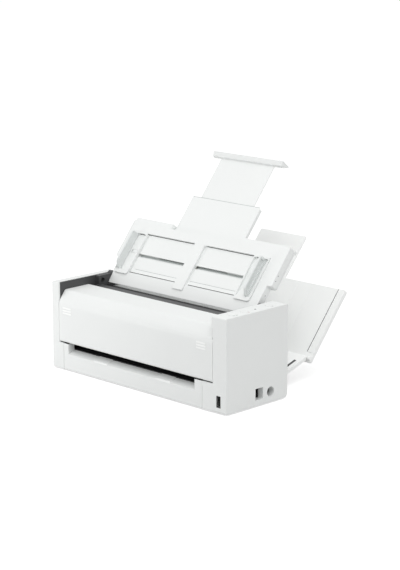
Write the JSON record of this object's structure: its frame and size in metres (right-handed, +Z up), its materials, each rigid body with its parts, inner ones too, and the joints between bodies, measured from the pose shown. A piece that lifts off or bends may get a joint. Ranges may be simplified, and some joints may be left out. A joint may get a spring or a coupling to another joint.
{
  "type": "document scanner",
  "caption": "Compact sheet-fed document scanner with folding feed tray, sliding guides, hinged front cover, driven roller path and pull-out rear stacker.",
  "frame": {"origin": "middle of the bounding box's underside, on the surface that the rubber feet stand on", "axes": "+X towards the control side, the right side seen from the front; +Y from the front cover to the stacker; +Z up"},
  "size_m": [0.2982, 0.2794, 0.2585],
  "materials": {
    "white_cover": "moulded, fine grain",
    "tray_white": "moulded, smooth",
    "dark_frame": "moulded, matt",
    "black_plastic": "moulded, matt",
    "grey_plastic": "moulded, glossy",
    "gear_white": "moulded acetal",
    "roller_rubber": "ground",
    "foot_rubber": "moulded",
    "steel": "ground",
    "bronze": "sintered",
    "glass": "polished",
    "board_green": "coated laminate",
    "socket_metal": "nickel plated",
    "lens": "clear moulded"
  },
  "bodies": {
    "case": {"base_frame": "white_cover", "left_side_cover": "white_cover", "right_side_cover": "white_cover", "lower_front_panel": "white_cover", "rear_cover": "white_cover", "left_side_frame": "dark_frame", "right_side_frame": "dark_frame", "rear_paper_guide": "black_plastic", "exit_guide": "black_plastic", "control_panel": "white_cover", "control_board": "board_green", "status_lens": "lens", "main_board": "board_green", "usb_a_socket": "socket_metal", "usb_b_socket": "socket_metal", "power_jack": "black_plastic", "socket_collars": "white_cover", "drive_motor": "steel", "rear_sensor_bar": "black_plastic", "rear_sensor_glass": "glass", "rubber_feet": "foot_rubber", "case_screws": "steel", "shaft_bushes": "bronze"},
    "tray": {"tray_frame": "tray_white", "tray_cover": "white_cover", "tray_hinge_pins": "steel"},
    "left_guide_body": {"left_guide": "tray_white"},
    "right_guide_body": {"right_guide": "tray_white"},
    "left_fence_body": {"left_fence": "grey_plastic"},
    "right_fence_body": {"right_fence": "grey_plastic"},
    "guide_pinion_body": {"guide_pinion": "gear_white"},
    "middle_extension_body": {"middle_extension": "tray_white"},
    "upper_extension_body": {"upper_extension": "tray_white", "end_stop": "tray_white"},
    "cover": {"front_cover": "white_cover", "cover_inner_frame": "dark_frame", "front_sensor_bar": "black_plastic", "front_sensor_glass": "glass"},
    "latch": {"cover_latch": "dark_frame"},
    "motor_shaft": {"motor_pinion": "gear_white"},
    "feed_rollers": {"feed_shaft": "gear_white", "feed_tyres": "roller_rubber"},
    "conveyor_rollers": {"conveyor_shaft": "gear_white", "conveyor_tyres": "roller_rubber"},
    "exit_rollers": {"exit_roller": "gear_white"},
    "eject_rollers": {"eject_roller": "gear_white"},
    "high_gear": {"idler_gear_high": "gear_white"},
    "low_gear": {"idler_gear_low": "gear_white"},
    "rear_gear": {"idler_gear_rear": "gear_white"},
    "separation_body": {"separation_roller": "roller_rubber"},
    "conveyor_idler_body": {"conveyor_idler": "black_plastic"},
    "exit_idler_body": {"exit_idler": "black_plastic"},
    "eject_idler_body": {"eject_idler": "black_plastic"},
    "slider": {"stacker_slider": "steel"},
    "base_plate": {"stacker_base": "tray_white"},
    "stacker": {"stacker_panel": "white_cover"},
    "sheet": {"stacker_extension": "tray_white"},
    "power_button_body": {"power_button": "white_cover"},
    "stop_button_body": {"stop_button": "white_cover"},
    "scan_button_body": {"scan_button": "white_cover"}
  },
  "joints": [
    {"name": "tray_hinge", "type": "hinge", "parent": "case", "child": "tray", "pos_m": [0, -0.05309, 0.1071], "axis": [1, 0, 0], "range_deg": [0, 129.2]},
    {"name": "left_guide_slide", "type": "slide", "parent": "tray", "child": "left_guide_body", "axis": [1, 0, 0], "range_m": [0, 0.0815]},
    {"name": "right_guide_slide", "type": "slide", "parent": "tray", "child": "right_guide_body", "axis": [-1, 0, 0], "range_m": [0, 0.08151]},
    {"name": "guide_pinion_spin", "type": "hinge", "parent": "tray", "child": "guide_pinion_body", "pos_m": [-0.01215, -0.0321, 0.13205], "axis": [0, -0.7749, 0.632], "range_deg": [-584.02, 0]},
    {"name": "left_fence_fold", "type": "hinge", "parent": "left_guide_body", "child": "left_fence_body", "pos_m": [-0.12035, -0.03465, 0.13541], "axis": [0, 0.632, 0.7749], "range_deg": [0, 90.02]},
    {"name": "right_fence_fold", "type": "hinge", "parent": "right_guide_body", "child": "right_fence_body", "pos_m": [0.09605, -0.03465, 0.13541], "axis": [0, -0.632, -0.7749], "range_deg": [0, 90.02]},
    {"name": "middle_extension_slide", "type": "slide", "parent": "tray", "child": "middle_extension_body", "axis": [0, -0.632, -0.7749], "range_m": [0, 0.0511]},
    {"name": "upper_extension_slide", "type": "slide", "parent": "middle_extension_body", "child": "upper_extension_body", "axis": [0, -0.632, -0.7749], "range_m": [0, 0.0572]},
    {"name": "cover_hinge", "type": "hinge", "parent": "case", "child": "cover", "pos_m": [0, -0.13649, 0.0387], "axis": [-1, 0, 0], "range_deg": [-60, 0]},
    {"name": "cover_latch_turn", "type": "hinge", "parent": "cover", "child": "latch", "pos_m": [-0.12565, -0.08349, 0.09], "axis": [1, 0, 0], "range_deg": [0, 14], "stiffness_Nm_per_rad": 0.02},
    {"name": "motor_spin", "type": "hinge", "parent": "case", "child": "motor_shaft", "pos_m": [0.13115, -0.05699, 0.06006], "axis": [1, 0, 0], "continuous": true},
    {"name": "high_gear_spin", "type": "hinge", "parent": "case", "child": "high_gear", "pos_m": [0.13115, -0.06421, 0.06836], "axis": [1, 0, 0], "continuous": true},
    {"name": "feed_spin", "type": "hinge", "parent": "case", "child": "feed_rollers", "pos_m": [-0.01215, -0.06724, 0.081], "axis": [1, 0, 0], "continuous": true},
    {"name": "conveyor_spin", "type": "hinge", "parent": "case", "child": "conveyor_rollers", "pos_m": [-0.01215, -0.07699, 0.066], "axis": [1, 0, 0], "continuous": true},
    {"name": "low_gear_spin", "type": "hinge", "parent": "case", "child": "low_gear", "pos_m": [0.13115, -0.08083, 0.05047], "axis": [1, 0, 0], "continuous": true},
    {"name": "exit_spin", "type": "hinge", "parent": "case", "child": "exit_rollers", "pos_m": [-0.01215, -0.07399, 0.036], "axis": [1, 0, 0], "continuous": true},
    {"name": "rear_gear_spin", "type": "hinge", "parent": "case", "child": "rear_gear", "pos_m": [0.13115, -0.06109, 0.03444], "axis": [1, 0, 0], "continuous": true},
    {"name": "eject_spin", "type": "hinge", "parent": "case", "child": "eject_rollers", "pos_m": [-0.01215, -0.05619, 0.0454], "axis": [1, 0, 0], "continuous": true},
    {"name": "conveyor_idler_spin", "type": "hinge", "parent": "cover", "child": "conveyor_idler_body", "pos_m": [-0.01215, -0.08859, 0.066], "axis": [1, 0, 0], "continuous": true},
    {"name": "separation_spin", "type": "hinge", "parent": "cover", "child": "separation_body", "pos_m": [-0.01215, -0.07949, 0.09099], "axis": [1, 0, 0], "continuous": true},
    {"name": "exit_idler_spin", "type": "hinge", "parent": "case", "child": "exit_idler_body", "pos_m": [-0.01215, -0.07399, 0.0227], "axis": [1, 0, 0], "continuous": true},
    {"name": "eject_idler_spin", "type": "hinge", "parent": "case", "child": "eject_idler_body", "pos_m": [-0.01215, -0.04983, 0.03631], "axis": [1, 0, 0], "continuous": true},
    {"name": "stacker_slide", "type": "slide", "parent": "case", "child": "slider", "axis": [0, -1, 0], "range_m": [0, 0.0783]},
    {"name": "base_plate_tilt", "type": "hinge", "parent": "slider", "child": "base_plate", "pos_m": [-0.01215, -0.04549, 0.0056], "axis": [1, 0, 0], "range_deg": [-17.82, 0]},
    {"name": "stacker_fold", "type": "hinge", "parent": "base_plate", "child": "stacker", "pos_m": [-0.01215, 0.03201, 0.03048], "axis": [1, 0, 0], "range_deg": [0, 58.02]},
    {"name": "sheet_slide", "type": "slide", "parent": "stacker", "child": "sheet", "axis": [0, 0.6455, 0.7638], "range_m": [-0.06241, 0]},
    {"name": "scan_button_press", "type": "slide", "parent": "case", "child": "scan_button_body", "axis": [0, 0, -1], "range_m": [0, 0.0007], "stiffness_N_per_m": 300},
    {"name": "stop_button_press", "type": "slide", "parent": "case", "child": "stop_button_body", "axis": [0, 0, -1], "range_m": [0, 0.0007], "stiffness_N_per_m": 300},
    {"name": "power_button_press", "type": "slide", "parent": "case", "child": "power_button_body", "axis": [0, 0, -1], "range_m": [0, 0.0007], "stiffness_N_per_m": 300}
  ],
  "couplings": [
    {"joint": "right_guide_slide", "follows": "left_guide_slide", "ratio": 1},
    {"joint": "guide_pinion_spin", "follows": "left_guide_slide", "rad_per_m": -125},
    {"joint": "left_fence_fold", "follows": "tray_hinge", "ratio": 0.69659},
    {"joint": "right_fence_fold", "follows": "tray_hinge", "ratio": 0.69659},
    {"joint": "high_gear_spin", "follows": "motor_spin", "ratio": -0.83333},
    {"joint": "feed_spin", "follows": "motor_spin", "ratio": 0.71429},
    {"joint": "conveyor_spin", "follows": "motor_spin", "ratio": 0.71429},
    {"joint": "low_gear_spin", "follows": "motor_spin", "ratio": -0.55556},
    {"joint": "exit_spin", "follows": "motor_spin", "ratio": 0.71429},
    {"joint": "rear_gear_spin", "follows": "motor_spin", "ratio": -0.83333},
    {"joint": "eject_spin", "follows": "motor_spin", "ratio": 0.83333},
    {"joint": "conveyor_idler_spin", "follows": "motor_spin", "ratio": -0.9},
    {"joint": "separation_spin", "follows": "motor_spin", "ratio": -1.2987},
    {"joint": "exit_idler_spin", "follows": "motor_spin", "ratio": -1.6071},
    {"joint": "eject_idler_spin", "follows": "motor_spin", "ratio": -1.1667},
    {"joint": "base_plate_tilt", "follows": "stacker_slide", "rad_per_m": -3.9677},
    {"joint": "stacker_fold", "follows": "stacker_slide", "rad_per_m": 12.928},
    {"joint": "sheet_slide", "follows": "stacker_slide", "ratio": -0.79693}
  ]
}
